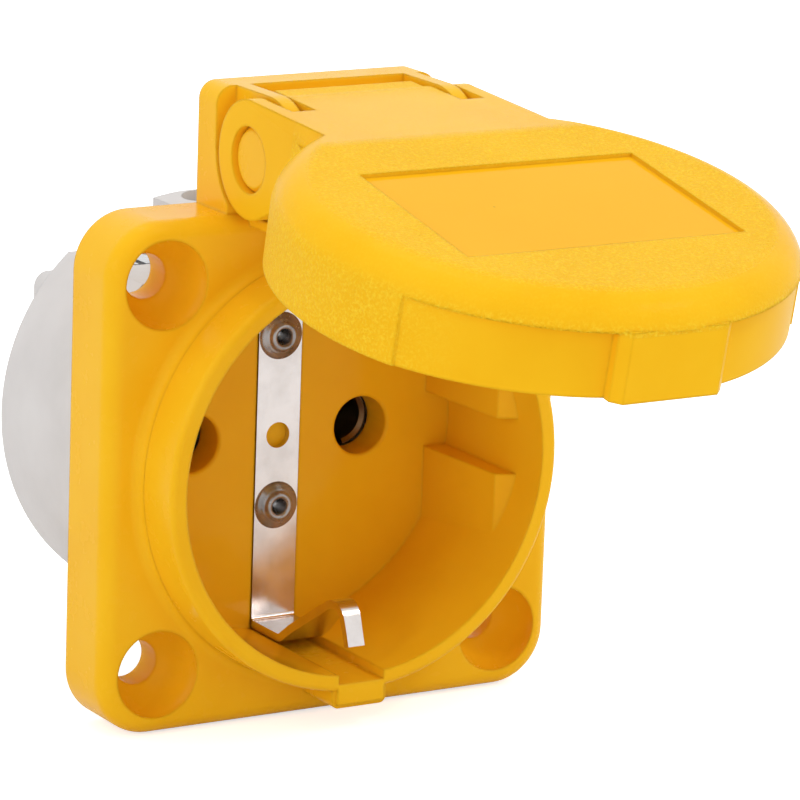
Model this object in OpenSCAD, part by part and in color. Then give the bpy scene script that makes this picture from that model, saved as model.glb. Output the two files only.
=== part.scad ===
/* [Flange] */
// thickness of the flange, panel face to front face
flange_t = 7.5; // [6:0.5:10]
// radius of the flange's four corners
flange_corner_r = 5.5; // [3:0.5:8]
// rounding of the flange's front edge
flange_edge_r = 1.6; // [0.5:0.1:2]
// radius of a fixing hole
hole_r = 2.2; // [1.6:0.1:2.6]
// radius of the bowl sunk round a fixing hole, at the front face
sink_r = 4.3; // [3.6:0.1:4.8]
// depth of that bowl
sink_depth = 4.5; // [3:0.1:5]
// wall between the collar and a bowl, along the diagonal
hole_gap = 1.27; // [1:0.01:5]
// width left between a bowl and the flange's edge
flange_rim = 1.7; // [1.7:0.1:6]

/* [Well] */
// inner radius of the well
well_r = 19.65; // [19.5:0.05:20]
// depth of the well, rim to base plate
well_depth = 17.7; // [17:0.1:19]
// wall of the collar round the well
collar_wall = 1.65; // [1.4:0.05:2]
// height of the collar in front of the flange
collar_h = 6.1; // [5:0.1:8]
// rounding of the collar's rim
rim_r = 0.6; // [0.2:0.1:0.7]
// how much wider the collar's outside is at the flange than at the rim
collar_draft = 0.25; // [0.15:0.05:0.4]
// fillet between the collar and the flange
collar_fillet = 1; // [0.4:0.1:1.2]
// thickness of the base plate
base_t = 1.8; // [1.5:0.1:2.5]
// half of the distance between the two pin holes
pin_x = 9.5; // [9:0.1:10]
// radius of a pin hole
pin_hole_r = 2.95; // [2.9:0.05:3.1]
// length of a pin hole
pin_len = 3.8; // [3:0.1:5]
// wall of the tube that a pin hole runs on in behind the base plate
pin_wall = 1; // [0.8:0.1:1.1]
// distance of a guide's flat face from the middle, at the base
guide_x = 16.9; // [16.5:0.1:17.5]
// how far a guide's face leans outward on its way to the front
guide_draft = 0.7; // [0.2:0.1:1]
// half of the gap between the two guides of a side
guide_gap = 2.8; // [2:0.1:4]
// distance from the rim to the front end of a guide
guide_setback = 5.3; // [3:0.1:8]

/* [Earth strap] */
// width of the strap
strap_w = 4.8; // [4:0.1:6]
// thickness of the strap
strap_t = 0.8; // [0.6:0.05:1]
// how far the strap stands out of its groove in the base plate
strap_proud = 0.12; // [0.05:0.01:0.3]
// how far inside the well's wall the flat foot of a clip stands
clip_inset = 0.65; // [0.4:0.05:1]
// inside radius of the bends
bend_r = 0.4; // [0.3:0.05:0.8]
// length of a clip's flat foot
foot_len = 4.8; // [3.5:0.1:6]
// angle of a clip's ramp
ramp_angle = 36; // [30:1:42]
// length of a clip's ramp
ramp_len = 8.2; // [7.5:0.1:8.6]
// radius of the arch at the end of a ramp
arch_r = 1.8; // [1.2:0.1:2]
// angle of the leg that comes down from the arch
leg_angle = 70; // [50:1:80]
// length of that leg
leg_len = 2.6; // [2:0.1:3]
// width of a clip at its arch
tongue_w = 2.3; // [1.8:0.1:3]
// width of a clip at its tip
tip_w = 1.8; // [1.2:0.1:2]
// radius of the hole in the middle of the strap
mid_hole_r = 1.3; // [0.8:0.1:1.6]
// height of the upper rivet above the middle
rivet_up_z = 10.05; // [9:0.05:11]
// depth of the lower rivet below the middle
rivet_low_z = 7.1; // [6:0.05:9]
// radius of a rivet's shank
rivet_r = 1.45; // [1.2:0.05:1.8]
// radius of a rivet's head
rivet_head_r = 2.4; // [2.2:0.1:2.6]
// wall of the box on the collar that covers a clip's channel, at its sides
box_side = 0.5; // [0.4:0.1:1]
// outer wall of that box
box_wall = 2.5; // [2:0.1:2.8]

/* [Hinge] */
// half width of the hinge
hinge_half = 12; // [11:0.25:14]
// how far the bracket rises above the hinge axis
bracket_rise = 5.9; // [5:0.1:8]
// thickness of the bracket at its top
bracket_t = 3.5; // [2.5:0.1:3.6]
// rounding of the bracket's upper corners
bracket_corner_r = 1.7; // [1:0.1:2]
// radius of the lid's ears round the hinge axis
ear_r = 5.7; // [5:0.1:5.8]
// thickness of an ear
ear_t = 1.6; // [1.4:0.1:2]
// gap between an ear and the flange under it
ear_gap = 0.2; // [0.15:0.05:1]
// gap between an ear and the bracket behind it
bracket_gap = 0.6; // [0.3:0.1:1]
// thickness of one of the bracket's lugs
lug_t = 1.5; // [1.2:0.1:1.6]
// distance of a lug's foot in front of the panel face
foot_out = 11.4; // [10.5:0.1:12]
// how far a lug's foot reaches below the flange's upper edge
foot_low = 1; // [0.5:0.1:1.5]
// how much further out than its lug a foot stands
foot_side = 0.35; // [0.2:0.05:0.5]
// radius of the hinge pin
hinge_pin_r = 3.1; // [2:0.1:3.4]
// angle that the lid is open at its stop
open_angle = 79; // [60:1:85]

/* [Lid] */
// gap between the collar's rim and the skirt
skirt_gap = 0.7; // [0.5:0.05:1]
// thickness of the skirt
skirt_t = 1.5; // [1.4:0.1:2]
// gap between the skirt and the flange when the lid is closed
skirt_lift = 0.9; // [0.5:0.1:2]
// how much thinner the skirt is at the front
skirt_in = 0.4; // [0.2:0.05:0.5]
// how far the curve of the front skirt is centred towards the hinge
skirt_shift = 1.95; // [1.5:0.05:2]
// depth below the middle where the skirt's sides end
side_low = 12.1; // [11:0.1:13]
// how far the lid's disc stands out past the skirt's nominal radius
lip_out = 0.5; // [0.4:0.1:0.8]
// how far the disc sits off centre, away from the hinge
lip_shift = 0.45; // [0.3:0.05:0.6]
// height of the lip
lip_h = 2.9; // [2.9:0.1:4]
// rounding of the lid's upper edge
lid_edge_r = 3.9; // [3:0.1:4.2]
// thickness of the lid's plate
plate_t = 2.2; // [1.6:0.1:2.4]
// distance from the middle to where the plate starts to slope down to the hinge
slope_z = 14.3; // [13:0.1:15]
// distance from the middle to where the neck's underside leaves the skirt
neck_start = 20.4; // [19:0.1:21]
// width of the smooth label field
label_w = 28.9; // [20:0.5:32]
// upper edge of the label field above the middle of the well
label_top = 7.5; // [5:0.5:10]
// lower edge of the label field below the middle of the well
label_low = 11.6; // [8:0.5:14]
// depth of the label field
label_d = 0.35; // [0.2:0.05:0.6]
// distance from the middle to where the slots for the lugs start
slot_z = 26.8; // [26:0.1:28]
// half width of the grip nose
nose_half = 5.8; // [4.5:0.1:8]
// how far the grip nose stands out past the skirt
nose_out = 0.7; // [0.5:0.1:0.8]
// width of the seal
seal_w = 2.2; // [1.5:0.1:2.4]
// thickness of the seal
seal_h = 2; // [1.5:0.1:3]

/* [Carrier] */
// wall of the ring behind the panel face that holds the carrier
ring_wall = 1.45; // [1.2:0.05:1.6]
// depth of that ring
ring_y = 6.5; // [6.4:0.1:6.8]
// room behind the contact sleeves in the round part of the rear body
sleeve_end = 0.7; // [0.5:0.1:2]
// how far the rear block stands out behind the round part
block_h = 3.2; // [2.8:0.1:6]
// half width of the rear block
rear_half = 16.1; // [15:0.1:16.5]
// top of the rear block
rear_top = 13.3; // [12:0.1:13.5]
// depth of the rear block below the middle
rear_low = 6; // [5.5:0.1:8]
// half width of the earth boss between the two flat shelves
boss_half = 4.6; // [4.4:0.1:5]
// height of the terminals' floor above the contact bores
floor_t = 2.4; // [2:0.1:3]
// distance of the line and neutral terminal screws from the end of the round part
term_back = 4.8; // [4.3:0.1:6]
// distance of the earth terminal screw from the end of the round part
earth_back = 3.1; // [3.1:0.1:4]
// height of the earth terminal above the other two
earth_lift = 5.3; // [5:0.1:6]
// side of a terminal block, left to right
term_w = 6.2; // [5.6:0.1:6.4]
// length of a terminal block, front to back
term_l = 5.8; // [5:0.1:6]
// height of a line or neutral terminal block
term_h = 7; // [6.6:0.1:7.4]
// height of the earth terminal block
earth_h = 6; // [5.8:0.1:6.4]
// thread radius of a terminal screw
screw_r = 1.75; // [1.5:0.05:2]
// head radius of a terminal screw
screw_head_r = 2.5; // [2.2:0.1:2.6]
// height of a terminal screw's head
screw_head_h = 1.8; // [1.5:0.1:2.2]
// radius of a wire entry
wire_r = 2.15; // [1.8:0.05:2.4]

/* [Contacts] */
// inner radius of a contact sleeve
sleeve_in_r = 2.42; // [2.4:0.01:2.5]
// wall of a contact sleeve
sleeve_wall = 0.5; // [0.4:0.05:0.7]
// distance of a sleeve's mouth behind its pin hole
sleeve_gap = 0.3; // [0.2:0.1:1]
// length of a contact sleeve
sleeve_len = 13.5; // [12:0.5:15]
// thickness of the sheet of the contacts
sheet_t = 0.8; // [0.6:0.05:1]
// width of the slit in a sleeve
slit_w = 0.7; // [0.4:0.05:1]
// thickness of the spring round a sleeve
spring_t = 0.5; // [0.4:0.05:0.7]
// width of the spring round a sleeve
spring_w = 3; // [2:0.1:4]
// distance of that spring behind the sleeve's mouth
spring_back = 5.5; // [4:0.1:7]

/* [Fits] */
// gap between parts that are pressed or laid together
seat_gap = 0.02; // [0.01:0.01:0.05]
// gap round the hinge pin in the lid
run_gap = 0.08; // [0.05:0.01:0.1]
// gap between the lid and the bracket's lugs, left and right
side_gap = 0.5; // [0.3:0.05:0.6]
// gap between the lid and what it covers when closed
lid_gap = 0.35; // [0.3:0.05:0.5]

/* [Hidden] */
// facets of a full circle
$fn = 96;
// how far a cutter runs past a face
over = 1;
// forward distances of the rim and of the base plate's front
rim_fwd = flange_t + collar_h;
base_fwd = rim_fwd - well_depth;
base_y = -base_fwd;
base_back = base_y + base_t;
pin_back = base_y + pin_len;
pin_boss_r = pin_hole_r + pin_wall;
// collar, holes and flange, worked out from the well outwards
collar_r = well_r + collar_wall;
hole_half = round(20 * (collar_r + hole_gap + sink_r) / sqrt(2)) / 20;
flange_half = hole_half + sink_r + flange_rim;
edge_y = flange_edge_r - flange_t;
// ring of the housing behind the panel face, and where the carrier starts
carrier_r = well_r + ring_wall;
spigot_y = base_back + 0.1;
shoulder_y = ring_y + 0.1;
spigot_r = well_r - 0.2;
web_t = 2;
web_y = spigot_y + web_t;
// hinge axis, from the bracket and the ears
axis_out = bracket_t + bracket_gap + ear_r;
axis_y = -axis_out;
axis_z = flange_half + ear_gap + ear_r;
bracket_top = axis_z + bracket_rise;
foot_front = 1.4;
swing_r = ear_r + bracket_gap - 0.1;
slot_out = hinge_half - ear_t;
lug_out = slot_out - side_gap;
lug_in = lug_out - lug_t;
tongue_half = lug_in - side_gap;
lug_r = bracket_rise;
lug_foot = lug_out + foot_side;
foot_r = sqrt(pow(axis_out - flange_t, 2) + pow(axis_z - flange_half + foot_low, 2)) + lid_gap;
pin_end = 0.4;
// lid in its closed place
lid_face = rim_fwd + seal_h + plate_t;
lid_inner = lid_face - plate_t;
skirt_fwd = flange_t + skirt_lift;
lid_r = collar_r + skirt_gap + skirt_t;
front_r = lid_r - skirt_in + skirt_shift;
lip_r = lid_r + lip_out;
nose_reach = lid_r + nose_out;
neck_low = skirt_fwd + 1.9;
seal_mid_r = (well_r + collar_r) / 2;
// strap
strap_front = base_y - strap_proud;
strap_back = strap_front + strap_t;
groove_y = strap_back + seat_gap;
bend_mid = bend_r + strap_t / 2;
clip_foot = well_r - clip_inset;
channel_half = strap_w / 2 + 0.1;
channel_out = clip_foot + strap_t / 2 + 1;
box_half = channel_half + box_side;
box_out = channel_out + box_wall;
// contacts
sleeve_y = pin_back + sleeve_gap;
sleeve_out_r = sleeve_in_r + sleeve_wall;
bore_r = sleeve_out_r + spring_t + 0.8;
// terminals
carrier_y = sleeve_y + sleeve_len + sleeve_end;
rear_y = carrier_y + block_h;
term_x = pin_x;
term_y = carrier_y - term_back;
earth_y = carrier_y - earth_back;
low_z = bore_r + floor_t;
earth_z = low_z + earth_lift;
screw_lift = 0.3;
screw_depth = 3.3;
shelf_z = low_z + term_h + screw_lift + screw_head_h + 0.1;
window_floor = 0.7;
window_half = 2.1;
window_h = term_h - screw_depth + 0.2;
link_y = web_y + 0.05;
clinch_r = 2.3;
clinch_t = 0.6;

// extrudes a shape drawn in X and Z from one Y to another
module plate_xz(from_y, to_y) {
    translate([0, to_y, 0])
        rotate([90, 0, 0])
            linear_extrude(to_y - from_y)
                children();
}

// extrudes a shape drawn in Y and Z from one X to another
module bar_yz(from_x, to_x) {
    translate([from_x, 0, 0])
        rotate([90, 0, 90])
            linear_extrude(to_x - from_x)
                children();
}

// turns a shape drawn in radius and forward distance round the Y axis
module spin_y() {
    rotate([90, 0, 0])
        rotate_extrude()
            children();
}

// cylinder along Y
module rod_y(r, from_y, to_y) {
    translate([0, from_y, 0])
        rotate([-90, 0, 0])
            cylinder(r = r, h = to_y - from_y);
}

// cylinder along X
module rod_x(r, from_x, to_x) {
    translate([from_x, 0, 0])
        rotate([0, 90, 0])
            cylinder(r = r, h = to_x - from_x);
}

// box given by two opposite corners
module box(a, b) {
    translate(a)
        cube(b - a);
}

// same thing left and right of the middle
module both_sides() {
    children();
    mirror([1, 0, 0])
        children();
}

// same thing at the top and at the bottom
module top_and_bottom() {
    children();
    mirror([0, 0, 1])
        children();
}

// square with rounded corners
module rounded_square(half, r) {
    square([2 * half - 2 * r, 2 * half], center = true);
    square([2 * half, 2 * half - 2 * r], center = true);
    for (x = [-1, 1])
        for (z = [-1, 1])
            translate([x * (half - r), z * (half - r)])
                circle(r = r);
}

// quarter of a round, solid side towards the axis
module quarter_round(r) {
    intersection() {
        circle(r = r);
        square(r);
    }
}

// rounded band along the four straight edges and the corners of the flange's front
module flange_edge() {
    straight = 2 * (flange_half - flange_corner_r);
    back = flange_t - flange_edge_r;
    for (turn = [0, 90, 180, 270]) {
        rotate([0, turn, 0])
            translate([-straight / 2, -back, flange_half - flange_edge_r])
                rotate([0, 90, 0])
                    intersection() {
                        cylinder(r = flange_edge_r, h = straight);
                        translate([-flange_edge_r, -flange_edge_r, 0])
                            cube([flange_edge_r, flange_edge_r, straight]);
                    }
        rotate([0, turn, 0])
            translate([flange_half - flange_corner_r, -back, flange_half - flange_corner_r])
                spin_y()
                    translate([flange_corner_r - flange_edge_r, 0])
                        quarter_round(flange_edge_r);
    }
}

module flange_body() {
    plate_xz(edge_y, 0)
        rounded_square(flange_half, flange_corner_r);
    plate_xz(-flange_t, edge_y)
        rounded_square(flange_half - flange_edge_r, flange_corner_r - flange_edge_r);
    flange_edge();
}

// collar with a rounded rim, a drafted outside and a filleted foot, and the ring behind the panel face
module collar_body() {
    foot_r = collar_r + collar_draft;
    spin_y() {
        translate([0, -ring_y])
            square([carrier_r, ring_y]);
        polygon([[0, 0], [foot_r, 0], [foot_r, flange_t], [collar_r, rim_fwd - rim_r], [0, rim_fwd - rim_r]]);
        square([collar_r - rim_r, rim_fwd]);
        translate([collar_r - rim_r, rim_fwd - rim_r])
            circle(r = rim_r);
        difference() {
            translate([0, flange_t - over])
                square([foot_r + collar_fillet, over + collar_fillet]);
            translate([foot_r + collar_fillet, flange_t + collar_fillet])
                circle(r = collar_fillet);
        }
    }
}

// box on the collar behind which a clip's channel runs
module channel_box() {
    edge = 0.7;
    depth = box_out - well_r + over;
    plate_xz(-rim_fwd + 0.4, -flange_t + over)
        translate([0, -box_out + depth / 2]) {
            square([2 * box_half, depth - 2 * edge], center = true);
            square([2 * box_half - 2 * edge, depth], center = true);
            for (x = [-1, 1])
                translate([x * (box_half - edge), edge - depth / 2])
                    circle(r = edge);
        }
    plate_xz(-rim_fwd, -rim_fwd + 0.4)
        translate([0, -box_out + 0.4 + depth / 2])
            square([2 * box_half - 0.8, depth], center = true);
}

// one guide: flat face that leans outward, and a bevelled front end
module guide() {
    front = rim_fwd - guide_setback;
    low = sqrt(well_r * well_r - guide_x * guide_x);
    intersection() {
        translate([0, 0, -low - over])
            linear_extrude(low + over - guide_gap)
                polygon([[guide_x, base_y + over], [guide_x, base_y],
                    [guide_x + guide_draft, -front], [well_r + 0.2, -front - 1.2],
                    [well_r + over, -front - 1.2], [well_r + over, base_y + over]]);
        rod_y(well_r + 0.3, -rim_fwd, base_y + over);
    }
}

// hollow pockets between the collar and the screw sinks, open to the panel
module flange_coring() {
    wall = 1.9;
    bridge = 6;
    difference() {
        plate_xz(-flange_t + wall, over)
            rounded_square(flange_half - wall, flange_corner_r - wall);
        rod_y(collar_r + wall, -flange_t, 2 * over);
        box([-bridge, -flange_t, -flange_half], [bridge, 2 * over, flange_half]);
        box([-flange_half, -flange_t, -bridge], [flange_half, 2 * over, bridge]);
        for (x = [-1, 1])
            for (z = [-1, 1])
                translate([x * hole_half, 0, z * hole_half])
                    rod_y(sink_r + wall - 0.4, -flange_t, 2 * over);
        box([-hinge_half - over, -flange_t, flange_half - 2 * wall], [hinge_half + over, 2 * over, flange_half]);
    }
}

// fixing hole with its deep bowl
module fixing_hole() {
    ball_fwd = (sink_r * sink_r - hole_r * hole_r - sink_depth * sink_depth) / (2 * sink_depth);
    rod_y(hole_r, -flange_t, over);
    translate([0, -flange_t - ball_fwd, 0])
        rotate([90, 0, 0])
            sphere(r = sqrt(sink_r * sink_r + ball_fwd * ball_fwd));
}

// wall of the bracket, hollowed round the hinge axis
module bracket_body() {
    difference() {
        plate_xz(-flange_t + foot_front, 0) {
            translate([-hinge_half, flange_half - flange_edge_r])
                square([2 * hinge_half, bracket_top - bracket_corner_r - flange_half + flange_edge_r]);
            translate([-hinge_half + bracket_corner_r, flange_half])
                square([2 * (hinge_half - bracket_corner_r), bracket_top - flange_half]);
            for (x = [-1, 1])
                translate([x * (hinge_half - bracket_corner_r), bracket_top - bracket_corner_r])
                    circle(r = bracket_corner_r);
        }
        translate([0, axis_y, axis_z])
            rod_x(swing_r, -hinge_half - over, hinge_half + over);
        box([-hinge_half - over, -flange_t - over, axis_z], [hinge_half + over, -bracket_t, bracket_top + over]);
    }
}

// one lug that carries the hinge pin, with its wider foot on the flange's front
module lug() {
    foot_z = flange_half - foot_low;
    bar_yz(lug_in, lug_out)
        difference() {
            union() {
                translate([axis_y, axis_z])
                    circle(r = lug_r);
                translate([axis_y, axis_z])
                    square([axis_out - bracket_t / 2, lug_r]);
                polygon([[-foot_out, foot_z], [over - flange_t, foot_z], [over - flange_t, axis_z],
                    [axis_y, axis_z], [axis_y - lug_r / 2, axis_z - lug_r + over], [-foot_out, flange_half]]);
            }
            translate([axis_y, axis_z])
                circle(r = hinge_pin_r + seat_gap);
        }
    box([lug_in, -foot_out, foot_z], [lug_foot, over - flange_t, flange_half]);
}

module front_housing() {
    pin_edge = 0.2;
    color([0.98, 0.72, 0.1])
        difference() {
            union() {
                difference() {
                    union() {
                        flange_body();
                        collar_body();
                        top_and_bottom()
                            channel_box();
                    }
                    rod_y(well_r, -rim_fwd - over, base_y);
                    rod_y(well_r, base_back, ring_y + over);
                    flange_coring();
                    top_and_bottom()
                        box([-channel_half, -rim_fwd - over, -channel_out], [channel_half, base_y, 0]);
                    box([-channel_half, 0, -clip_foot - strap_t], [channel_half, groove_y, clip_foot + strap_t]);
                }
                top_and_bottom()
                    both_sides()
                        guide();
                bracket_body();
                both_sides()
                    lug();
                both_sides()
                    translate([pin_x, 0, 0])
                        rod_y(pin_boss_r, base_y + base_t / 2, pin_back);
            }
            both_sides()
                translate([pin_x, 0, 0]) {
                    rod_y(pin_hole_r, 0, pin_back + over);
                    translate([0, base_y - over, 0])
                        rotate([-90, 0, 0])
                            cylinder(r1 = pin_hole_r + pin_edge + over, r2 = pin_hole_r, h = over + pin_edge);
                }
            for (z = [rivet_up_z, -rivet_low_z])
                translate([0, 0, z])
                    rod_y(rivet_r + seat_gap, 0, ring_y);
            for (x = [-1, 1])
                for (z = [-1, 1])
                    translate([x * hole_half, 0, z * hole_half])
                        fixing_hole();
        }
}

// puts what is drawn for the closed lid where the open lid stands
module opened() {
    translate([0, axis_y, axis_z])
        rotate([-open_angle, 0, 0])
            translate([0, -axis_y, -axis_z])
                children();
}

// outline of the disc with a rounded upper edge, as radius and forward distance
module disc_profile(r, from_fwd, edge) {
    translate([0, from_fwd])
        square([r, lid_face - edge - from_fwd]);
    translate([0, from_fwd])
        square([r - edge, lid_face - from_fwd]);
    translate([r - edge, lid_face - edge])
        quarter_round(edge);
}

// forward distance and height of the point where a line from (fwd, z) runs onto the ear, above or below the axis
function touch(fwd, z, side) =
    let (d_fwd = fwd - axis_out, d_z = z - axis_z, far = sqrt(d_fwd * d_fwd + d_z * d_z))
    let (angle = atan2(d_z, d_fwd) + side * acos(ear_r / far))
    [axis_out + (ear_r - seat_gap) * cos(angle), axis_z + (ear_r - seat_gap) * sin(angle)];

// side view of the neck between the hinge and the disc, as forward distance and height
module neck_profile() {
    front = touch(lid_face, slope_z, 1);
    back = touch(neck_low, neck_start, -1);
    translate([axis_out, axis_z])
        circle(r = ear_r);
    polygon([[axis_out, axis_z], front, [lid_face, slope_z], [lid_face, slope_z - 4],
        [neck_low, slope_z - 4], [neck_low, neck_start], back]);
}

// extrudes the neck's side view, which is drawn forward, from one X to another
module neck(from_x, to_x) {
    mirror([0, 1, 0])
        bar_yz(from_x, to_x)
            neck_profile();
}

// concave corner between the neck and the disc
module neck_corner() {
    r = 4;
    x = hinge_half + r;
    z = sqrt((lip_r + r) * (lip_r + r) - x * x);
    touch_z = z * lip_r / (lip_r + r);
    touch_x = x * lip_r / (lip_r + r);
    plate_xz(-lid_face + 0.8 * lid_edge_r, -neck_low)
        difference() {
            polygon([[hinge_half - over, z], [hinge_half, z], [touch_x, touch_z], [touch_x - over, touch_z - over],
                [hinge_half - over, touch_z - over]]);
            translate([x, z])
                circle(r = r);
        }
}

// disc with its rounded edge, and its skirt set back under the lip in front
module lid_disc() {
    difference() {
        translate([0, 0, -lip_shift])
            spin_y()
                disc_profile(lip_r, skirt_fwd, lid_edge_r);
        difference() {
            box([-2 * lip_r, -lid_face + lip_h, -2 * lip_r], [2 * lip_r, over - skirt_fwd, -side_low]);
            translate([0, 0, skirt_shift])
                rod_y(front_r, -lid_face, 2 * over - skirt_fwd);
        }
    }
}

// what the slope towards the hinge takes off the disc
module slope_cut() {
    front = touch(lid_face, slope_z, 1);
    mirror([0, 1, 0])
        bar_yz(-2 * lip_r, 2 * lip_r)
            polygon([[lid_face, slope_z], front, [lid_face + over, front[1]], [lid_face + over, slope_z]]);
}

// grip nose under the lip
module nose() {
    edge = 0.9;
    lap = 0.2;
    plate_xz(-lid_face + lip_h - lap, -skirt_fwd)
        polygon([[-nose_half, -lid_r + 2 * skirt_t], [-nose_half, -nose_reach + edge],
            [-nose_half + edge, -nose_reach], [nose_half - edge, -nose_reach], [nose_half, -nose_reach + edge],
            [nose_half, -lid_r + 2 * skirt_t]]);
}

module lid_shell() {
    difference() {
        lid_disc();
        slope_cut();
    }
    neck(-hinge_half, hinge_half);
    both_sides()
        neck_corner();
    nose();
}

// hollow of the neck between the ears, with the plate above it
module neck_hollow() {
    start = [lid_face, slope_z];
    front = touch(start[0], start[1], 1);
    normal = [front[0] - axis_out, front[1] - axis_z] / ear_r;
    inner = start - plate_t * normal;
    top_z = axis_z - ear_r + 0.2;
    reach = (top_z - start[1]) / (front[1] - start[1]);
    mirror([0, 1, 0])
        bar_yz(-slot_out, slot_out)
            polygon([[0, 0], [lid_inner, 0], [lid_inner, inner[1]], inner + reach * (front - start),
                [0, top_z]]);
}

// slot that a lug stands in, cut through the plate beside the tongue
module lug_slot() {
    box([tongue_half, -lid_face - over, slot_z], [slot_out, over, axis_z + 2 * ear_r]);
    translate([0, axis_y, axis_z])
        rod_x(lug_r + lid_gap, tongue_half, slot_out);
    box([tongue_half, axis_y, axis_z - lug_r - lid_gap], [slot_out, over, axis_z]);
}

// groove inside the neck's wall that passes over a lug's foot
module foot_groove() {
    gap = 0.25;
    intersection() {
        translate([0, axis_y, axis_z])
            difference() {
                rod_x(foot_r, tongue_half, lug_foot + gap);
                rod_x(ear_r + 0.05, 0, hinge_half + over);
            }
        box([0, -foot_out - 2 * gap, 0], [hinge_half, over, axis_z]);
    }
}

// lid drawn closed, hollow inside, without its hinge bore
module lid_hollowed() {
    difference() {
        lid_shell();
        spin_y()
            translate([0, skirt_fwd - over])
                square([collar_r + skirt_gap, lid_inner - skirt_fwd + over]);
        box([-box_half - lid_gap, -rim_fwd - lid_gap, -box_out - lid_gap],
            [box_half + lid_gap, -skirt_fwd + over, 0]);
        neck_hollow();
        both_sides() {
            lug_slot();
            foot_groove();
        }
        box([-label_w / 2, -lid_face - over, -label_low], [label_w / 2, -lid_face + label_d, label_top]);
    }
}

// heel on the tongue that meets the bracket when the lid is open
module heel() {
    stop_y = -bracket_t - 0.05;
    top_back = 0.6 * ear_r;
    side = 0.4;
    bar_yz(-tongue_half + side, tongue_half - side)
        polygon([[axis_y, axis_z], [stop_y, axis_z + 0.1 * ear_r], [stop_y, axis_z + 0.45 * ear_r],
            [axis_y + top_back, axis_z + ear_r], [axis_y, axis_z + 0.97 * ear_r]]);
}

module lid() {
    color([0.98, 0.72, 0.1])
        difference() {
            union() {
                opened()
                    lid_hollowed();
                heel();
            }
            translate([0, axis_y, axis_z])
                rod_x(hinge_pin_r + run_gap, -hinge_half - over, hinge_half + over);
        }
}

module lid_seal() {
    color([0.2, 0.2, 0.2])
        opened()
            spin_y()
                translate([seal_mid_r - seal_w / 2, rim_fwd + 2 * seat_gap])
                    square([seal_w, seal_h - 3 * seat_gap]);
}

module hinge_pin() {
    edge = 0.4;
    long = hinge_half - pin_end;
    color([0.96, 0.7, 0.1])
        translate([0, axis_y, axis_z])
            rotate([0, 90, 0])
                rotate_extrude()
                    polygon([[0, -long], [hinge_pin_r - edge, -long], [hinge_pin_r, -long + edge],
                        [hinge_pin_r, long - edge], [hinge_pin_r - edge, long], [0, long]]);
}

// draws a folded strip's edge: goes straight for each length, then turns by each angle
module folded(lengths, angles, radii, i = 0) {
    square_len = lengths[i];
    translate([0, -strap_t / 2])
        square([square_len, strap_t]);
    if (i < len(angles)) {
        turn = angles[i];
        side = turn > 0 ? 1 : -1;
        r = radii[i];
        reach = 3 * r + 3;
        translate([square_len, side * r])
            intersection() {
                difference() {
                    circle(r = r + strap_t / 2);
                    circle(r = r - strap_t / 2);
                }
                polygon([[0, 0], [0, -side * reach],
                    [reach * sin(abs(turn) / 2), -side * reach * cos(turn / 2)],
                    [reach * sin(abs(turn)), -side * reach * cos(turn)]]);
            }
        translate([square_len, side * r])
            rotate(turn)
                translate([0, -side * r])
                    folded(lengths, angles, radii, i + 1);
    }
}

// edge of the clip at the lower end, as forward distance and depth below the middle
module clip_edge() {
    start = clip_foot - bend_mid - 1;
    translate([-strap_front - strap_t / 2, start])
        rotate(90)
            folded([1, foot_len, ramp_len, leg_len], [-90, -ramp_angle, ramp_angle + leg_angle],
                [bend_mid, bend_mid + 0.2, arch_r]);
}

// plan of a clip, as X and forward distance
module clip_plan() {
    ramp_start = -strap_front + bend_mid + foot_len;
    neck_fwd = ramp_start + ramp_len * cos(ramp_angle);
    tip_fwd = neck_fwd + 2 * arch_r;
    polygon([[-strap_w / 2, -strap_back - over], [-strap_w / 2, ramp_start + arch_r], [-tongue_w / 2, neck_fwd],
        [-tip_w / 2, tip_fwd], [-tip_w / 2, tip_fwd + leg_len], [tip_w / 2, tip_fwd + leg_len],
        [tip_w / 2, tip_fwd], [tongue_w / 2, neck_fwd], [strap_w / 2, ramp_start + arch_r],
        [strap_w / 2, -strap_back - over]]);
}

module clip() {
    intersection() {
        mirror([0, 0, 1])
            mirror([0, 1, 0])
                bar_yz(-strap_w, strap_w)
                    clip_edge();
        translate([0, 0, -2 * flange_half])
            mirror([0, 1, 0])
                linear_extrude(4 * flange_half)
                    clip_plan();
    }
}

module earth_strap() {
    half = clip_foot - bend_mid - 0.5;
    color([0.8, 0.78, 0.75])
        difference() {
            union() {
                box([-strap_w / 2, strap_front, -half], [strap_w / 2, strap_back, half]);
                top_and_bottom()
                    clip();
            }
            rod_y(mid_hole_r, 0, ring_y);
            for (z = [rivet_up_z, -rivet_low_z])
                translate([0, 0, z])
                    rod_y(rivet_r + seat_gap, 0, ring_y);
        }
}

// hollow rivet with a domed head in front and its tail spread behind
module rivet(z, tail_y) {
    bore = 0.65;
    dome = 0.5;
    ring = 0.9;
    front = -strap_front;
    color([0.72, 0.7, 0.66])
        translate([0, 0, z])
            spin_y()
                polygon([[bore, -tail_y - clinch_t], [rivet_r + 0.2, -tail_y - clinch_t],
                    [clinch_r, -tail_y - clinch_t / 2], [clinch_r, -tail_y], [rivet_r, -tail_y],
                    [rivet_r, front], [rivet_head_r, front], [rivet_head_r, front + 0.2],
                    [rivet_r, front + dome], [rivet_r, front + ring - 0.2], [rivet_r - 0.2, front + ring],
                    [bore + 0.2, front + ring], [bore, front + ring - 0.2]]);
}

module rivet_upper() {
    rivet(rivet_up_z, link_y + sheet_t + seat_gap);
}

module rivet_lower() {
    rivet(-rivet_low_z, web_y + seat_gap);
}

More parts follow.
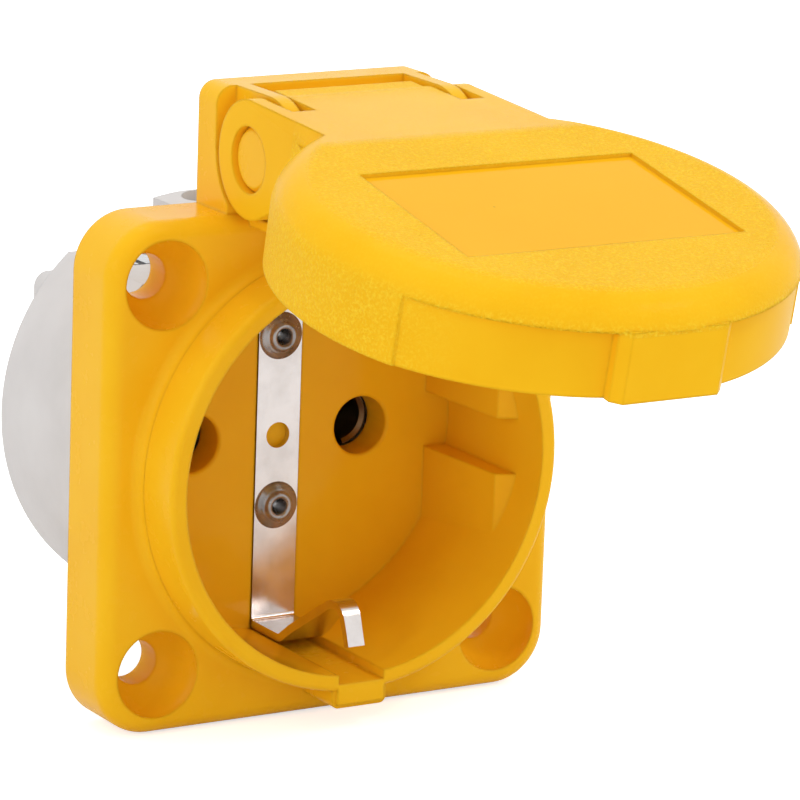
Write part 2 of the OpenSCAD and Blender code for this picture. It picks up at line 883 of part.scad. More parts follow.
// body of the carrier before its pockets are cut
module carrier_block() {
    corner = 1.5;
    difference() {
        union() {
            rod_y(spigot_r, spigot_y, shoulder_y + over);
            rod_y(carrier_r, shoulder_y, carrier_y);
        }
        both_sides()
            box([boss_half, 0, shelf_z], [2 * carrier_r, carrier_y + over, 2 * carrier_r]);
    }
    height = rear_top + rear_low;
    plate_xz(carrier_y - over, rear_y)
        translate([0, (rear_top - rear_low) / 2]) {
            square([2 * rear_half - 2 * corner, height], center = true);
            square([2 * rear_half, height - 2 * corner], center = true);
            for (x = [-1, 1])
                for (z = [-1, 1])
                    translate([x * (rear_half - corner), z * (height / 2 - corner)])
                        circle(r = corner);
        }
}

// pockets of one side: contact bore, terminal chamber, screw access and wire entry
module side_pockets() {
    room = 0.3;
    wall = 1.8;
    funnel = 0.8;
    half = term_w / 2 + room;
    back = term_y + term_l / 2 + room;
    translate([pin_x, 0, 0])
        rod_y(bore_r, 0, sleeve_y + sleeve_len + room);
    box([term_x - half, 0, 0], [term_x + half, back, low_z + term_h + room]);
    box([term_x - half, term_y - term_l / 2 - room, low_z], [term_x + half, back, shelf_z + over]);
    translate([term_x, 0, low_z + window_floor + window_h / 2 + room]) {
        rod_y(wire_r, back - over, rear_y + over);
        translate([0, rear_y - funnel, 0])
            rotate([-90, 0, 0])
                cylinder(r1 = wire_r, r2 = wire_r + funnel + over, h = funnel + over);
    }
    intersection() {
        rod_y(spigot_r - wall, 0, carrier_y - wall);
        box([2 * wall, 0, -carrier_r], [carrier_r, carrier_y, -bore_r - wall]);
    }
    intersection() {
        rod_y(spigot_r - wall, 0, carrier_y - wall);
        box([pin_x + bore_r + wall / 2, 0, -bore_r], [carrier_r, carrier_y, shelf_z - wall]);
    }
}

module contact_carrier() {
    gap = 0.2;
    color([0.84, 0.82, 0.81])
        difference() {
            carrier_block();
            both_sides()
                side_pockets();
            box([-term_w / 2 - gap, web_y, rivet_up_z - clinch_r - 4 * gap],
                [term_w / 2 + gap, rear_y + over, earth_z + earth_h + gap]);
            translate([0, earth_y, 0])
                cylinder(r = screw_head_r + gap, h = 2 * carrier_r);
            for (z = [rivet_up_z, -rivet_low_z])
                translate([0, 0, z])
                    rod_y(rivet_r + seat_gap, 0, rear_y);
            translate([0, 0, -rivet_low_z])
                rod_y(clinch_r + 3 * gap, web_y, rear_y + over);
        }
}

// slit sleeve with a tab that leads up and back into its terminal
module contact(side) {
    tab_half = 1.8;
    tab_y = sleeve_y + 2;
    tail_z = low_z + window_floor + 0.1;
    mouth = 0.35;
    color([0.83, 0.68, 0.35])
        translate([side * pin_x, 0, 0])
            difference() {
                union() {
                    rod_y(sleeve_out_r, sleeve_y, sleeve_y + sleeve_len);
                    bar_yz(-tab_half, tab_half) {
                        translate([tab_y, 0])
                            square([sheet_t, tail_z + sheet_t]);
                        translate([tab_y, tail_z])
                            square([term_y + term_l / 2 - 0.4 - tab_y, sheet_t]);
                    }
                }
                rod_y(sleeve_in_r, 0, rear_y);
                translate([0, sleeve_y - over, 0])
                    rotate([-90, 0, 0])
                        cylinder(r1 = sleeve_in_r + mouth + over, r2 = sleeve_in_r, h = over + mouth);
                box([-slit_w / 2, 0, -carrier_r], [slit_w / 2, rear_y, 0]);
            }
}

module contact_left() {
    contact(-1);
}

module contact_right() {
    contact(1);
}

// open ring that presses a sleeve together
module sleeve_spring(side) {
    inner = sleeve_out_r + 0.05;
    from_y = sleeve_y + spring_back;
    to_y = from_y + spring_w;
    color([0.75, 0.75, 0.76])
        translate([side * pin_x, 0, 0])
            difference() {
                rod_y(inner + spring_t, from_y, to_y);
                rod_y(inner, from_y - over, to_y + over);
                box([-slit_w, from_y - over, -carrier_r], [slit_w, to_y + over, 0]);
            }
}

module sleeve_spring_left() {
    sleeve_spring(-1);
}

module sleeve_spring_right() {
    sleeve_spring(1);
}

// brass block with a window for wire and tail, and a threaded hole from above
module terminal(x, y, z, h) {
    window = h - screw_depth + 0.2;
    edge = 0.4;
    color([0.85, 0.7, 0.36])
        translate([x, y, z])
            difference() {
                union() {
                    box([-term_w / 2 + edge, -term_l / 2, 0], [term_w / 2 - edge, term_l / 2, h]);
                    box([-term_w / 2, -term_l / 2, edge], [term_w / 2, term_l / 2, h - edge]);
                }
                box([-window_half, -term_l / 2 - over, window_floor],
                    [window_half, term_l / 2 + over, window_floor + window]);
                cylinder(r = screw_r + seat_gap, h = h + over);
            }
}

module terminal_left() {
    terminal(-term_x, term_y, low_z, term_h);
}

module terminal_right() {
    terminal(term_x, term_y, low_z, term_h);
}

module terminal_earth() {
    terminal(0, earth_y, earth_z, earth_h);
}

// slotted screw standing in a terminal
module terminal_screw(x, y, z, h) {
    tip = h - screw_depth;
    head = h + screw_lift;
    point = 0.5;
    slot = 0.8;
    color([0.78, 0.78, 0.8])
        translate([x, y, z])
            difference() {
                union() {
                    translate([0, 0, tip + point])
                        cylinder(r = screw_r, h = head - tip - point + slot / 2);
                    translate([0, 0, tip])
                        cylinder(r1 = screw_r - point, r2 = screw_r, h = point);
                    translate([0, 0, head])
                        cylinder(r = screw_head_r, h = screw_head_h);
                }
                box([-slot / 2, -screw_head_r - over, head + screw_head_h / 2],
                    [slot / 2, screw_head_r + over, head + screw_head_h + over]);
            }
}

module terminal_screw_left() {
    terminal_screw(-term_x, term_y, low_z, term_h);
}

module terminal_screw_right() {
    terminal_screw(term_x, term_y, low_z, term_h);
}

module terminal_screw_earth() {
    terminal_screw(0, earth_y, earth_z, earth_h);
}

// pressure plate just under a terminal screw
module clamp_plate(x, y, z, h) {
    thick = 0.7;
    gap = 0.1;
    groove_r = 0.25;
    color([0.76, 0.76, 0.78])
        translate([x, y, z + h - screw_depth - thick - seat_gap])
            difference() {
                box([-window_half + gap, -term_l / 2 + 5 * gap, 0], [window_half - gap, term_l / 2 - 5 * gap, thick]);
                rotate([0, 90, 0])
                    cylinder(r = groove_r, h = 3 * window_half, center = true);
            }
}

module clamp_plate_left() {
    clamp_plate(-term_x, term_y, low_z, term_h);
}

module clamp_plate_right() {
    clamp_plate(term_x, term_y, low_z, term_h);
}

module clamp_plate_earth() {
    clamp_plate(0, earth_y, earth_z, earth_h);
}

// angled strip from the upper rivet to the earth terminal
module earth_link() {
    half = 1.9;
    tail_z = earth_z + window_floor + 0.1;
    color([0.83, 0.68, 0.35])
        difference() {
            bar_yz(-half, half) {
                translate([link_y, rivet_up_z - clinch_r - 0.5])
                    square([sheet_t, tail_z + sheet_t - rivet_up_z + clinch_r + 0.5]);
                translate([link_y, tail_z])
                    square([earth_y + term_l / 2 - 0.4 - link_y, sheet_t]);
            }
            translate([0, 0, rivet_up_z])
                rod_y(rivet_r + seat_gap, 0, rear_y);
        }
}

front_housing();
lid();
lid_seal();
hinge_pin();
earth_strap();
rivet_upper();
rivet_lower();
contact_carrier();
contact_left();
contact_right();
sleeve_spring_left();
sleeve_spring_right();
terminal_left();
terminal_right();
terminal_earth();
terminal_screw_left();
terminal_screw_right();
terminal_screw_earth();
clamp_plate_left();
clamp_plate_right();
clamp_plate_earth();
earth_link();
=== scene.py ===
import math

import bmesh
import bpy
from mathutils import Matrix, Vector


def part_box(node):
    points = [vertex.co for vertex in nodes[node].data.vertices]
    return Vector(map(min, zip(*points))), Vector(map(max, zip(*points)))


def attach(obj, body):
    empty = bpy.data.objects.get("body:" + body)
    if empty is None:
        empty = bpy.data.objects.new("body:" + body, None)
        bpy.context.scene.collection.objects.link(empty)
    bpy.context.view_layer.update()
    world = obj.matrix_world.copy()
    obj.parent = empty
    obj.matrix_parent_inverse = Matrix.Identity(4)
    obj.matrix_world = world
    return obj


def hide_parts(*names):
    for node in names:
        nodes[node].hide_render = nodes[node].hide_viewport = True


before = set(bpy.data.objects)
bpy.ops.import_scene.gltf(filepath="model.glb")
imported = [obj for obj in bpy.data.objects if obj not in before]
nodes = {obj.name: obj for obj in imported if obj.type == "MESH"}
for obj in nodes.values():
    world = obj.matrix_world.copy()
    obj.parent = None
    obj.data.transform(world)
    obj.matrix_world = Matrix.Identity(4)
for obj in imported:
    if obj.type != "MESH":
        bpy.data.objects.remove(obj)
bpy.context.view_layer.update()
scene = bpy.context.scene
mm = 0.001
print("frame loaded:", len(nodes), "nodes")


def newMaterial(name):
    mat = bpy.data.materials.new(name)
    mat.use_nodes = True
    tree = mat.node_tree
    shader = tree.nodes["Principled BSDF"]
    return mat, tree, shader


def objectCoords(tree):
    return tree.nodes.new("ShaderNodeTexCoord").outputs["Object"]


def setAll(node, values):
    for key, value in values.items():
        node.inputs[key].default_value = value


def linkAll(tree, node, sources):
    for key, source in sources.items():
        tree.links.new(source, node.inputs[key])


# first and second are sockets or plain numbers
def mathNode(tree, operation, first, second=None):
    node = tree.nodes.new("ShaderNodeMath")
    node.operation = operation
    for slot, value in enumerate((first, second)):
        if value is None:
            continue
        if isinstance(value, (int, float)):
            node.inputs[slot].default_value = value
        else:
            tree.links.new(value, node.inputs[slot])
    return node.outputs[0]


def product(tree, first, *others):
    for other in others:
        first = mathNode(tree, "MULTIPLY", first, other)
    return first


def largest(tree, first, *others):
    for other in others:
        first = mathNode(tree, "MAXIMUM", first, other)
    return first


# turns 1 into 0 and 0 into 1
def opposite(tree, value):
    return mathNode(tree, "SUBTRACT", 1.0, value)


# distance of a place from the well's middle line, which is the Y axis
def wellDistance(tree, coords):
    flat = tree.nodes.new("ShaderNodeVectorMath")
    flat.operation = "MULTIPLY"
    flat.inputs[1].default_value = (1, 0, 1)
    tree.links.new(coords, flat.inputs[0])
    length = tree.nodes.new("ShaderNodeVectorMath")
    length.operation = "LENGTH"
    tree.links.new(flat.outputs["Vector"], length.inputs[0])
    return length.outputs["Value"]


def rangeNode(tree, value, fromRange, toRange=(0.0, 1.0), smooth=False):
    node = tree.nodes.new("ShaderNodeMapRange")
    if smooth:
        node.interpolation_type = "SMOOTHSTEP"
    tree.links.new(value, node.inputs["Value"])
    setAll(node, {"From Min": fromRange[0], "From Max": fromRange[1],
                  "To Min": toRange[0], "To Max": toRange[1]})
    return node.outputs["Result"]


def scaledCoords(tree, coords, stretch):
    mapping = tree.nodes.new("ShaderNodeMapping")
    mapping.inputs["Scale"].default_value = stretch
    tree.links.new(coords, mapping.inputs["Vector"])
    return mapping.outputs["Vector"]


# settings are the noise's scale, detail and roughness
def noiseNode(tree, coords, settings):
    scale, detail, rough = settings
    node = tree.nodes.new("ShaderNodeTexNoise")
    setAll(node, {"Scale": scale, "Detail": detail, "Roughness": rough})
    tree.links.new(coords, node.inputs["Vector"])
    return node.outputs["Fac"]


# bump holds the depth in metres and the strength
def bumpNode(tree, height, bump, normal=None):
    depth, strength = bump
    node = tree.nodes.new("ShaderNodeBump")
    setAll(node, {"Strength": strength, "Distance": depth})
    tree.links.new(height, node.inputs["Height"])
    if normal:
        tree.links.new(normal, node.inputs["Normal"])
    return node.outputs["Normal"]


def rampNode(tree, value, stops):
    node = tree.nodes.new("ShaderNodeValToRGB")
    ramp = node.color_ramp
    while len(ramp.elements) < len(stops):
        ramp.elements.new(0.5)
    for element, (place, colour) in zip(ramp.elements, stops):
        element.position = place
        element.color = (*colour, 1)
    tree.links.new(value, node.inputs["Fac"])
    return node.outputs["Color"]


def mixColour(tree, amount, first, second):
    node = tree.nodes.new("ShaderNodeMix")
    node.data_type = "RGBA"
    tree.links.new(amount, node.inputs["Factor"])
    tree.links.new(first, node.inputs["A"])
    node.inputs["B"].default_value = (*second, 1)
    return node.outputs["Result"]


# normal rounded over sharp edges, for the bump nodes to build on
def softEdge(tree, radius):
    node = tree.nodes.new("ShaderNodeBevel")
    node.samples = 4
    node.inputs["Radius"].default_value = radius
    return node.outputs["Normal"]


# few small dots, as 1 inside a dot and 0 elsewhere; share is how many of the cells have one
def specks(tree, coords, settings):
    cell, radius, share = settings
    node = tree.nodes.new("ShaderNodeTexVoronoi")
    node.inputs["Scale"].default_value = 1 / cell
    tree.links.new(coords, node.inputs["Vector"])
    split = tree.nodes.new("ShaderNodeSeparateColor")
    tree.links.new(node.outputs["Color"], split.inputs["Color"])
    chosen = mathNode(tree, "LESS_THAN", split.outputs["Red"], share)
    near = mathNode(tree, "LESS_THAN", node.outputs["Distance"], radius / cell)
    return product(tree, chosen, near)


yellowLook = {
    "stops": [(0.30, (0.925, 0.490, 0.010)),
              (0.50, (0.950, 0.516, 0.012)),
              (0.72, (0.965, 0.540, 0.016))],
    "cloud": (90, 3.0, 0.55),
    "specks": (6 * mm, 0.12 * mm, 0.22),
    "speckColour": (0.16, 0.09, 0.02),
    "fixed": {"IOR": 1.5, "Specular IOR Level": 0.12, "Specular Tint": (1.0, 0.88, 0.55, 1),
              "Subsurface Weight": 0.08, "Subsurface Scale": 0.5 * mm,
              "Subsurface Radius": (1.0, 0.7, 0.25)},
    "edge": 0.45 * mm,
}


# base colour of both yellow plastics, and the slow cloud that tints it
def yellowColour(tree, shader, coords):
    cloud = noiseNode(tree, coords, yellowLook["cloud"])
    tint = rampNode(tree, cloud, yellowLook["stops"])
    dots = specks(tree, coords, yellowLook["specks"])
    setAll(shader, yellowLook["fixed"])
    return mixColour(tree, dots, tint, yellowLook["speckColour"]), cloud


housingLook = {
    "wellRadius": 19.75 * mm,
    "streak": (420, 3.0, 0.6),
    "streakSpan": (0.3, 0.7),
    "wellRough": (0.08, 0.15),
    "outRough": (0.20, 0.30),
    "grain": (2600, 2.0, 0.6),
    "grainBump": (0.010 * mm, 0.35),
    "waveBump": (0.10 * mm, 0.5),
}


# polished inside the well, a little duller outside it
def housingPlastic():
    mat, tree, shader = newMaterial("housingYellow")
    coords = objectCoords(tree)
    colour, cloud = yellowColour(tree, shader, coords)
    inWell = mathNode(tree, "LESS_THAN", wellDistance(tree, coords), housingLook["wellRadius"])
    streak = noiseNode(tree, coords, housingLook["streak"])
    polished = rangeNode(tree, streak, housingLook["streakSpan"], housingLook["wellRough"])
    plain = rangeNode(tree, streak, housingLook["streakSpan"], housingLook["outRough"])
    gloss = product(tree, inWell, mathNode(tree, "SUBTRACT", plain, polished))
    grain = bumpNode(tree, noiseNode(tree, coords, housingLook["grain"]), housingLook["grainBump"],
                     softEdge(tree, yellowLook["edge"]))
    linkAll(tree, shader, {
        "Base Color": colour,
        "Roughness": mathNode(tree, "SUBTRACT", plain, gloss),
        "Normal": bumpNode(tree, cloud, housingLook["waveBump"], grain),
    })
    return mat


# places are on the closed lid: x runs across it, y goes in from its outer face, z goes up
lidLook = {
    "hinge": (0.0, -9.8 * mm, 30.9 * mm),
    "open": 79.0,  # degrees from the open lid to the closed one
    "label": (28.9 * mm, -11.6 * mm, 7.5 * mm),  # full width, lowest and highest height
    "labelColour": (0.93, 0.455, 0.006),
    "labelTint": 0.7,
    "earInside": 10.3 * mm,
    "earLow": 23.5 * mm,
    "skirtFrom": -14.6 * mm,
    "skirtFade": (-17 * mm, -9 * mm),
    "edgeFrom": (-17.8 * mm, -17.5 * mm),
    "edgeTo": (-16.0 * mm, -14.8 * mm),
    "edgeWear": 0.8,
    "edgeGloss": 0.18,
    "shine": {"Specular IOR Level": 0.04, "Specular Tint": (1.0, 0.9, 0.62, 1)},
    "rough": (0.28, 0.42),  # in the label field and on the eroded skin
    "grain": (3400, 3.0, 0.65),
    "grainSpan": (0.25, 0.75),
    "grainBump": (0.09 * mm, 0.7),
    # the paler grain colour and its span: partly the eroded grain's own tone, partly painted glints
    "grainAndPaintedGlintSpan": (0.46, 0.68),
    "grainAndPaintedGlintColour": (1.0, 0.65, 0.035),
    "glint": (5200, 1.0, 0.5),
    "glintSpan": (0.62, 0.70),
    "glintGloss": (0.0, 0.22),
    "waveBump": (0.10 * mm, 0.3),
}


# the open lid's places turned to where they are on the closed lid, as x, y and z
def closedPlaces(tree, coords):
    angle = math.radians(lidLook["open"])
    axis = Vector(lidLook["hinge"])
    closed = tree.nodes.new("ShaderNodeMapping")
    closed.inputs["Rotation"].default_value = (angle, 0, 0)
    closed.inputs["Location"].default_value = axis - Matrix.Rotation(angle, 4, "X") @ axis
    tree.links.new(coords, closed.inputs["Vector"])
    split = tree.nodes.new("ShaderNodeSeparateXYZ")
    tree.links.new(closed.outputs["Vector"], split.inputs["Vector"])
    return split.outputs["X"], split.outputs["Y"], split.outputs["Z"]


# 0 in the smooth label field and 1 outside it; aside is how far from the lid's middle line
def labelOutside(tree, aside, height):
    width, low, high = lidLook["label"]
    return largest(tree,
                   mathNode(tree, "GREATER_THAN", aside, width / 2),
                   mathNode(tree, "LESS_THAN", height, low),
                   mathNode(tree, "GREATER_THAN", height, high))


# 1 where the skin is eroded: not on the ears, and fading out along the skirt towards the nose
def erodedPlate(tree, aside, depth, height):
    inside = mathNode(tree, "LESS_THAN", aside, lidLook["earInside"])
    below = mathNode(tree, "LESS_THAN", height, lidLook["earLow"])
    onTop = mathNode(tree, "LESS_THAN", depth, lidLook["skirtFrom"])
    fade = rangeNode(tree, height, lidLook["skirtFade"])
    return product(tree, largest(tree, inside, below), largest(tree, onTop, fade))


# 1 along the rounded upper edge, which handling has rubbed smooth
def wornEdge(tree, depth):
    start = rangeNode(tree, depth, lidLook["edgeFrom"], (0.0, 1.0), True)
    end = rangeNode(tree, depth, lidLook["edgeTo"], (1.0, 0.0), True)
    return product(tree, start, end)


def lidRoughness(tree, coords, eroded, worn):
    smooth, coarse = lidLook["rough"]
    rough = mathNode(tree, "ADD", product(tree, eroded, coarse - smooth), smooth)
    glint = rangeNode(tree, noiseNode(tree, coords, lidLook["glint"]),
                      lidLook["glintSpan"], lidLook["glintGloss"])
    rough = mathNode(tree, "SUBTRACT", rough, product(tree, glint, eroded))
    return mathNode(tree, "SUBTRACT", rough, product(tree, worn, lidLook["edgeGloss"]))


# eroded skin all over, apart from the smooth label field and the worn edge
def lidPlastic():
    mat, tree, shader = newMaterial("lidYellow")
    coords = objectCoords(tree)
    x, depth, height = closedPlaces(tree, coords)
    aside = mathNode(tree, "ABSOLUTE", x)
    outside = labelOutside(tree, aside, height)
    worn = wornEdge(tree, depth)
    kept = opposite(tree, product(tree, worn, lidLook["edgeWear"]))
    eroded = product(tree, outside, erodedPlate(tree, aside, depth, height), kept)
    colour, cloud = yellowColour(tree, shader, coords)
    setAll(shader, lidLook["shine"])
    onLabel = product(tree, opposite(tree, outside), lidLook["labelTint"])
    colour = mixColour(tree, onLabel, colour, lidLook["labelColour"])
    grain = noiseNode(tree, coords, lidLook["grain"])
    pits = product(tree, rangeNode(tree, grain, lidLook["grainSpan"], smooth=True), eroded)
    # paler yellow at the grain's peaks on the eroded skin: partly the frosted grain's own tone,
    # partly painted glints
    grainAndPaintedGlint = product(tree, rangeNode(tree, grain, lidLook["grainAndPaintedGlintSpan"]), eroded)
    wave = bumpNode(tree, cloud, lidLook["waveBump"], softEdge(tree, yellowLook["edge"]))
    linkAll(tree, shader, {
        "Base Color": mixColour(tree, grainAndPaintedGlint, colour, lidLook["grainAndPaintedGlintColour"]),
        "Roughness": lidRoughness(tree, coords, eroded, worn),
        "Normal": bumpNode(tree, pits, lidLook["grainBump"], wave),
    })
    return mat


greyLook = {
    "stops": [(0.32, (0.620, 0.595, 0.582)),
              (0.50, (0.660, 0.632, 0.620)),
              (0.70, (0.690, 0.664, 0.652))],
    "cloud": (110, 3.0, 0.5),
    "fixed": {"Subsurface Weight": 0.08, "Subsurface Scale": 0.5 * mm,
              "Subsurface Radius": (0.9, 0.8, 0.7)},
    "streak": (700, 2.0, 0.6),
    "streakSpan": (0.3, 0.7),
    "rough": (0.40, 0.52),
    "grain": (1900, 3.0, 0.6),
    "grainBump": (0.025 * mm, 0.4),
    "edge": 0.25 * mm,
}


def greyPlastic():
    mat, tree, shader = newMaterial("carrierGrey")
    coords = objectCoords(tree)
    setAll(shader, greyLook["fixed"])
    streak = noiseNode(tree, coords, greyLook["streak"])
    grain = noiseNode(tree, coords, greyLook["grain"])
    linkAll(tree, shader, {
        "Base Color": rampNode(tree, noiseNode(tree, coords, greyLook["cloud"]), greyLook["stops"]),
        "Roughness": rangeNode(tree, streak, greyLook["streakSpan"], greyLook["rough"]),
        "Normal": bumpNode(tree, grain, greyLook["grainBump"], softEdge(tree, greyLook["edge"])),
    })
    return mat


sealLook = {
    "bloom": (260, 4.0, 0.6),
    "stops": [(0.3, (0.022, 0.022, 0.023)), (0.7, (0.05, 0.05, 0.052))],
    "fixed": {"Roughness": 0.62, "Specular IOR Level": 0.4},
    "grain": (1500, 3.0, 0.6),
    "grainBump": (0.03 * mm, 0.5),
}


def sealRubber():
    mat, tree, shader = newMaterial("sealRubber")
    coords = objectCoords(tree)
    setAll(shader, sealLook["fixed"])
    grain = noiseNode(tree, coords, sealLook["grain"])
    linkAll(tree, shader, {
        "Base Color": rampNode(tree, noiseNode(tree, coords, sealLook["bloom"]), sealLook["stops"]),
        "Normal": bumpNode(tree, grain, sealLook["grainBump"]),
    })
    return mat


metalLook = {
    "even": (900, 900, 900),  # how often the fine marks repeat along x, y and z
    "alongZ": (1400, 1400, 120),
    "marks": (1.0, 4.0, 0.6),
    "marksSpan": (0.3, 0.7),
    "marksBump": (0.001 * mm, 0.5),
    "stain": (320, 4.0, 0.6),
    "stainSpan": (0.30, 0.62),
    "specks": (2.2 * mm, 0.07 * mm, 0.35),
    "speckShade": 0.3,
}


# stains wander between the tints low and high; run names how the fine marks are stretched
def markedMetal(name, low, high, rough, run="even", bump=metalLook["marksBump"], metallic=1.0):
    mat, tree, shader = newMaterial(name)
    coords = objectCoords(tree)
    stretched = scaledCoords(tree, coords, metalLook[run])
    marks = noiseNode(tree, stretched, metalLook["marks"])
    stain = noiseNode(tree, coords, metalLook["stain"])
    tint = rampNode(tree, stain, list(zip(metalLook["stainSpan"], (low, high))))
    dots = specks(tree, coords, metalLook["specks"])
    dark = tuple(metalLook["speckShade"] * part for part in low)
    shader.inputs["Metallic"].default_value = metallic
    linkAll(tree, shader, {
        "Base Color": mixColour(tree, dots, tint, dark),
        "Roughness": rangeNode(tree, marks, metalLook["marksSpan"], rough),
    })
    if bump:
        linkAll(tree, shader, {"Normal": bumpNode(tree, marks, bump)})
    return mat


materials = {
    "housing": housingPlastic(),
    "lid": lidPlastic(),
    "grey": greyPlastic(),
    "seal": sealRubber(),
    "nickel": markedMetal("nickelStrip", (0.66, 0.610, 0.583), (0.79, 0.740, 0.717), (0.20, 0.25),
                          bump=None),
    # the rivets' dark base colour is a painted dark reflection of the surroundings they mirror; the
    # wander between the two tints is tarnish
    "rivet": markedMetal("rivetPaintedDarkMetal", (0.17, 0.165, 0.165), (0.42, 0.41, 0.41), (0.16, 0.30),
                         bump=(0.002 * mm, 0.5), metallic=0.65),
    # the contact sleeves' dark brown base colour is painted shade, standing in for the shadow
    # inside the pin holes
    "sleeve": markedMetal("sleevePaintedShadeMetal", (0.20, 0.14, 0.07), (0.34, 0.25, 0.13), (0.30, 0.45)),
    "brass": markedMetal("contactBrass", (0.66, 0.44, 0.17), (0.83, 0.60, 0.28), (0.22, 0.38),
                         "alongZ"),
    "steel": markedMetal("screwSteel", (0.55, 0.56, 0.57), (0.74, 0.75, 0.76), (0.22, 0.36)),
}
print("materials made:", len(materials))

finishes = {
    "housing": ["front_housing", "hinge_pin"],
    "lid": ["lid"],
    "grey": ["contact_carrier"],
    "seal": ["lid_seal"],
    "nickel": ["earth_strap"],
    "rivet": ["rivet_upper", "rivet_lower"],
    "sleeve": ["contact_left", "contact_right"],
    "brass": ["terminal_left", "terminal_right", "terminal_earth", "earth_link"],
    "steel": ["sleeve_spring_left", "sleeve_spring_right",
              "terminal_screw_left", "terminal_screw_right", "terminal_screw_earth",
              "clamp_plate_left", "clamp_plate_right", "clamp_plate_earth"],
}
for finish, names in finishes.items():
    for name in names:
        slots = nodes[name].data.materials
        slots.clear()
        slots.append(materials[finish])
print("finishes set")


# radii and heights in mm; a height is counted from the strap's face towards the plug
rivetSet = {
    "bore": 0.78,
    "rim": 2.4,
    "rimRound": 0.10,
    "rimArc": (75, 0, 15),  # first angle, last angle and step, in degrees
    "ringRadius": 1.12,
    "ringRound": 0.30,
    "ringHeight": 0.95,
    "ringArc": (180, 20, 20),
    "cone": [(1.52, 0.62), (1.60, 0.55), (1.72, 0.53), (1.80, 0.47), (1.98, 0.37), (2.16, 0.27),
             (2.3, 0.16)],
    "shank": 1.45,
    "collar": 2.3,
    "collarEnd": 1.9,
    "collarFront": 0.6,  # both of these from the rivet's rear end
    "collarRear": 0.25,
    "turns": 64,
    "mergeAt": 1e-6,  # metres
}


# places on an ellipse round a middle, from the first angle down to the last
def arcPoints(middle, across, along, arc):
    first, last, step = arc
    angles = [math.radians(angle) for angle in range(first, last - 1, -step)]
    return [(middle[0] + across * math.cos(angle), middle[1] + along * math.sin(angle))
            for angle in angles]


# half outline of a hollow rivet: up the bore, over ring and cone, and back along the shank
def rivetOutline(tail):
    bore, rim, ring, shank = (rivetSet[key] for key in ("bore", "rim", "ringRadius", "shank"))
    curl, rimRound, collar = (rivetSet[key] for key in ("ringRound", "rimRound", "collar"))
    curlHeight = rivetSet["ringHeight"] - curl
    collarFront, collarRear = rivetSet["collarFront"] - tail, rivetSet["collarRear"] - tail
    points = [(bore, -tail), (bore, curlHeight)]
    points += arcPoints((ring, curlHeight), ring - bore, curl, rivetSet["ringArc"])
    points += rivetSet["cone"]
    points += arcPoints((rim - rimRound, 0), rimRound, rimRound, rivetSet["rimArc"])
    points += [(shank, 0), (shank, collarFront), (collar, collarFront), (collar, collarRear),
               (rivetSet["collarEnd"], -tail)]
    return points


def makeRivet(node, material):
    low, high = (Vector(corner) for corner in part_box(node))
    middle = (low + high) / 2
    front = low.y + rivetSet["ringHeight"] * mm
    tail = (high.y - front) / mm
    mesh = bpy.data.meshes.new(node + "Head")
    bm = bmesh.new()
    verts = [bm.verts.new((radius * mm, -height * mm, 0)) for radius, height in rivetOutline(tail)]
    edges = [bm.edges.new(pair) for pair in zip(verts, verts[1:] + verts[:1])]
    bmesh.ops.spin(bm, geom=verts + edges, cent=(0, 0, 0), axis=(0, 1, 0), angle=math.tau,
                   steps=rivetSet["turns"], use_merge=True)
    bmesh.ops.remove_doubles(bm, verts=bm.verts, dist=rivetSet["mergeAt"])
    bmesh.ops.recalc_face_normals(bm, faces=bm.faces)
    bmesh.ops.translate(bm, verts=bm.verts, vec=(middle.x, front, middle.z))
    for face in bm.faces:
        face.smooth = True
    bm.to_mesh(mesh)
    bm.free()
    mesh.materials.append(material)
    piece = bpy.data.objects.new(node + "Head", mesh)
    scene.collection.objects.link(piece)
    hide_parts(node)
    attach(piece, "housing")


for name in ("rivet_upper", "rivet_lower"):
    makeRivet(name, materials["rivet"])
print("rivets made")


cameraSet = {
    "place": (-237.28, -409.11, 120.87),  # place, lens and film width in mm
    "lens": 225.1,
    "film": 36,
    "yaw": 31.30,  # the three angles in degrees
    "pitch": 13.79,
    "roll": 2.06,
    "clip": (0.01, 20),  # metres
}


def makeCamera():
    yaw, pitch, roll = (math.radians(cameraSet[key]) for key in ("yaw", "pitch", "roll"))
    ahead = Vector((math.cos(pitch) * math.sin(yaw), math.cos(pitch) * math.cos(yaw),
                    -math.sin(pitch)))
    side = Vector((math.cos(yaw), -math.sin(yaw), 0))
    above = side.cross(ahead)
    right = math.cos(roll) * side + math.sin(roll) * above
    up = -math.sin(roll) * side + math.cos(roll) * above
    data = bpy.data.cameras.new("photoCamera")
    data.lens = cameraSet["lens"]
    data.sensor_width = cameraSet["film"]
    data.clip_start, data.clip_end = cameraSet["clip"]
    cam = bpy.data.objects.new("photoCamera", data)
    scene.collection.objects.link(cam)
    place = Matrix((right, up, -ahead)).transposed().to_4x4()
    place.translation = Vector(cameraSet["place"]) * mm
    cam.matrix_world = place
    scene.camera = cam


makeCamera()


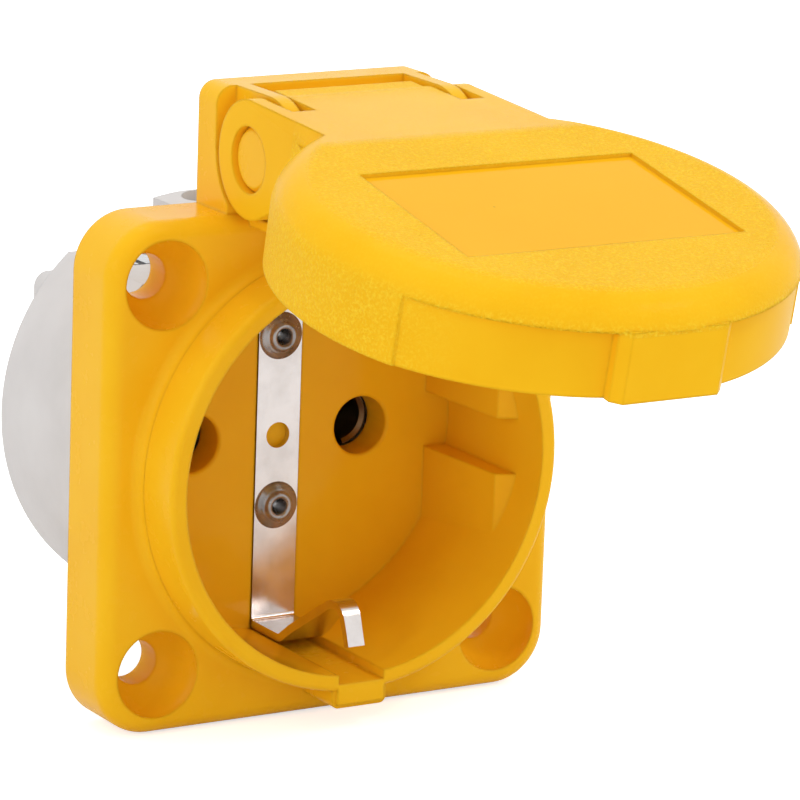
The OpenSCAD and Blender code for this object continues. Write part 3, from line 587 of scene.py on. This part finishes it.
studio = {
    "floor": -25.2 * mm,
    "floorSize": 8,
    "floorPaint": {"Base Color": (0.88, 0.88, 0.88, 1), "Roughness": 0.9,
                   "Specular IOR Level": 0.1, "Emission Color": (1, 1, 1, 1)},
    "floorLift": 0.65,  # the floor's glow as the camera sees it, and as metal mirrors it
    "mirrorLift": 0.10,
    "ambient": 0.88,
    "aim": (0, 0, 0),
}

# place, size and power of each lamp, in metres and watts
lamps = {
    "keyLamp": ((0.56, -0.56, 0.86), (0.24, 0.20), 1.5),
    "fillLamp": ((-0.95, -0.35, 0.35), (0.26, 0.26), 1.0),
    "topLamp": ((0.0, 0.12, 1.06), (0.12, 0.80), 1.2),
}


# 1 for light that the camera sees straight, mirrored or through a clear piece
def seenRay(tree):
    path = tree.nodes.new("ShaderNodeLightPath").outputs
    return largest(tree, path["Is Camera Ray"], path["Is Glossy Ray"], path["Is Transmission Ray"])


def makeFloor():
    bpy.ops.mesh.primitive_plane_add(size=studio["floorSize"], location=(0, 0, studio["floor"]))
    floor = bpy.context.object
    floor.name = "studioFloor"
    mat, tree, shader = newMaterial("floorPaper")
    setAll(shader, studio["floorPaint"])
    straight = tree.nodes.new("ShaderNodeLightPath").outputs["Is Camera Ray"]
    extra = product(tree, straight, studio["floorLift"] - studio["mirrorLift"])
    lift = mathNode(tree, "ADD", extra, product(tree, seenRay(tree), studio["mirrorLift"]))
    tree.links.new(lift, shader.inputs["Emission Strength"])
    floor.data.materials.append(mat)


def makeWorld():
    world = bpy.data.worlds.new("studioWorld")
    world.use_nodes = True
    scene.world = world
    tree = world.node_tree
    back = tree.nodes["Background"]
    back.inputs["Color"].default_value = (1, 1, 1, 1)
    lift = product(tree, seenRay(tree), 1 - studio["ambient"])
    tree.links.new(mathNode(tree, "ADD", lift, studio["ambient"]), back.inputs["Strength"])


def makeLamp(name, place, size, power):
    data = bpy.data.lights.new(name, "AREA")
    data.shape = "RECTANGLE"
    data.size, data.size_y = size
    data.energy = power
    lamp = bpy.data.objects.new(name, data)
    scene.collection.objects.link(lamp)
    place = Vector(place)
    turned = (Vector(studio["aim"]) - place).to_track_quat("-Z", "Y").to_matrix().to_4x4()
    turned.translation = place
    lamp.matrix_world = turned


makeFloor()
makeWorld()
for name, lampSet in lamps.items():
    makeLamp(name, *lampSet)
print("studio made")

scene.view_settings.view_transform = "Standard"
